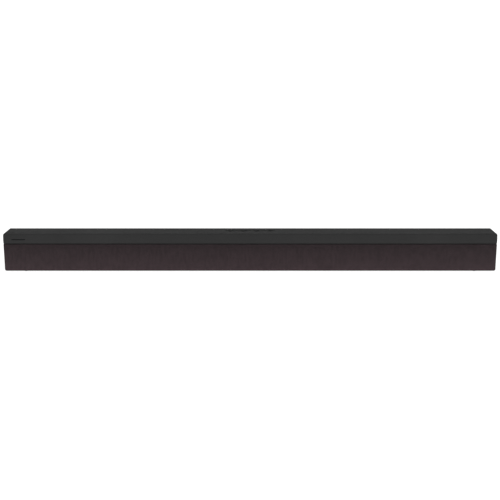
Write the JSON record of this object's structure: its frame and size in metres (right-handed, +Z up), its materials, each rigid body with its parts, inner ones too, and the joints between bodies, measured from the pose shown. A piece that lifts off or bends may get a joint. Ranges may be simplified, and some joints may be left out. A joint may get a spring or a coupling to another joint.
{
  "type": "soundbar",
  "caption": "Slim rectangular soundbar with a fabric front grille, a plain band and top cover, and a row of small round buttons in a shallow channel on top.",
  "frame": {"origin": "at table level, under the middle of the bar: centre of the bounding box seen from above, at the underside of the rubber feet", "axes": "+X to the right of a listener who faces the grille, along the bar; the grille faces -Y; +Z up"},
  "size_m": [0.95, 0.056, 0.075],
  "materials": {
    "cabinet": "moulded ABS, fine grain, matt",
    "end_cap": "moulded ABS, fine grain, matt",
    "cover": "moulded ABS, fine spark grain, satin matt",
    "baffle": "moulded ABS, matt",
    "foam": "closed-cell foam strip",
    "grille_frame": "moulded ABS, matt",
    "grille_cloth": "acoustically open knitted cloth",
    "window": "smoked translucent, polished",
    "port": "moulded, satin",
    "wadding": "polyester wadding",
    "brass": "machined",
    "circuit_board": "glass-epoxy board with solder mask",
    "module_can": "tinned shield can on a small board",
    "chip": "epoxy package",
    "heat_sink": "extruded, plain",
    "board_parts": "sleeved capacitors, coils and terminal blocks",
    "connector_plate": "moulded ABS, fine grain",
    "socket_plastic": "moulded nylon",
    "socket_shell": "stamped, tinned",
    "spring_steel": "stainless snap domes",
    "lead": "pvc-sleeved lead",
    "ribbon": "flat flexible cable",
    "screw": "zinc-plated",
    "foot": "moulded rubber",
    "button": "moulded, satin",
    "basket": "glass-filled plastic",
    "surround": "butyl rubber",
    "diaphragm": "coated pulp",
    "voice_coil": "copper wire on a paper former",
    "spider": "resin-dipped cotton",
    "magnet": "ferrite ring",
    "motor_steel": "zinc-plated steel"
  },
  "bodies": {
    "housing": {"amplifier_chip": "chip", "aux_jack": "socket_plastic", "baffle_gasket": "foam", "baffle_screws": "screw", "board_parts": "board_parts", "board_screws": "screw", "button_board": "circuit_board", "button_ribbon": "ribbon", "cabinet": "cabinet", "connector_panel": "cabinet", "connector_plate": "connector_plate", "damping_pads": "wadding", "driver_basket_left": "basket", "driver_basket_right": "basket", "driver_screws": "screw", "end_cap_left": "end_cap", "end_cap_right": "end_cap", "front_baffle": "baffle", "front_feet": "foot", "grille_cloth": "grille_cloth", "grille_frame": "grille_frame", "hdmi_socket": "socket_shell", "heat_sink": "heat_sink", "ir_receiver": "chip", "lid_screws": "screw", "magnet_left": "magnet", "magnet_right": "magnet", "main_board": "circuit_board", "optical_socket": "socket_plastic", "pole_pieces_left": "motor_steel", "pole_pieces_right": "motor_steel", "port_left": "port", "port_right": "port", "power_jack": "socket_plastic", "rear_feet": "foot", "rear_panel_left": "cabinet", "rear_panel_right": "cabinet", "rear_screws": "screw", "snap_domes": "spring_steel", "speaker_lead_left": "lead", "speaker_lead_right": "lead", "spider_left": "spider", "spider_right": "spider", "status_board": "circuit_board", "status_lead": "lead", "status_window": "window", "surround_left": "surround", "surround_right": "surround", "top_cover": "cover", "usb_socket": "socket_shell", "wall_inserts": "brass", "wireless_module": "module_can"},
    "power_button_body": {"power_button": "button"},
    "source_button_body": {"source_button": "button"},
    "volume_down_button_body": {"volume_down_button": "button"},
    "volume_up_button_body": {"volume_up_button": "button"},
    "cone_left": {"diaphragm_left": "diaphragm", "voice_coil_left": "voice_coil"},
    "cone_right": {"diaphragm_right": "diaphragm", "voice_coil_right": "voice_coil"}
  },
  "joints": [
    {"name": "power_button_press", "type": "slide", "parent": "housing", "child": "power_button_body", "axis": [0, 0, -1], "range_m": [0, 0.0005], "stiffness_N_per_m": 2500, "springref_m": -0.0003, "deforming": ["snap_domes"]},
    {"name": "source_button_press", "type": "slide", "parent": "housing", "child": "source_button_body", "axis": [0, 0, -1], "range_m": [0, 0.0005], "stiffness_N_per_m": 2500, "springref_m": -0.0003, "deforming": ["snap_domes"]},
    {"name": "volume_down_button_press", "type": "slide", "parent": "housing", "child": "volume_down_button_body", "axis": [0, 0, -1], "range_m": [0, 0.0005], "stiffness_N_per_m": 2500, "springref_m": -0.0003, "deforming": ["snap_domes"]},
    {"name": "volume_up_button_press", "type": "slide", "parent": "housing", "child": "volume_up_button_body", "axis": [0, 0, -1], "range_m": [0, 0.0005], "stiffness_N_per_m": 2500, "springref_m": -0.0003, "deforming": ["snap_domes"]},
    {"name": "cone_left_stroke", "type": "slide", "parent": "housing", "child": "cone_left", "axis": [0, 1, 0], "range_m": [-0.002, 0.002], "stiffness_N_per_m": 1500, "deforming": ["surround_left", "spider_left"]},
    {"name": "cone_right_stroke", "type": "slide", "parent": "housing", "child": "cone_right", "axis": [0, 1, 0], "range_m": [-0.002, 0.002], "stiffness_N_per_m": 1500, "deforming": ["surround_right", "spider_right"]}
  ]
}
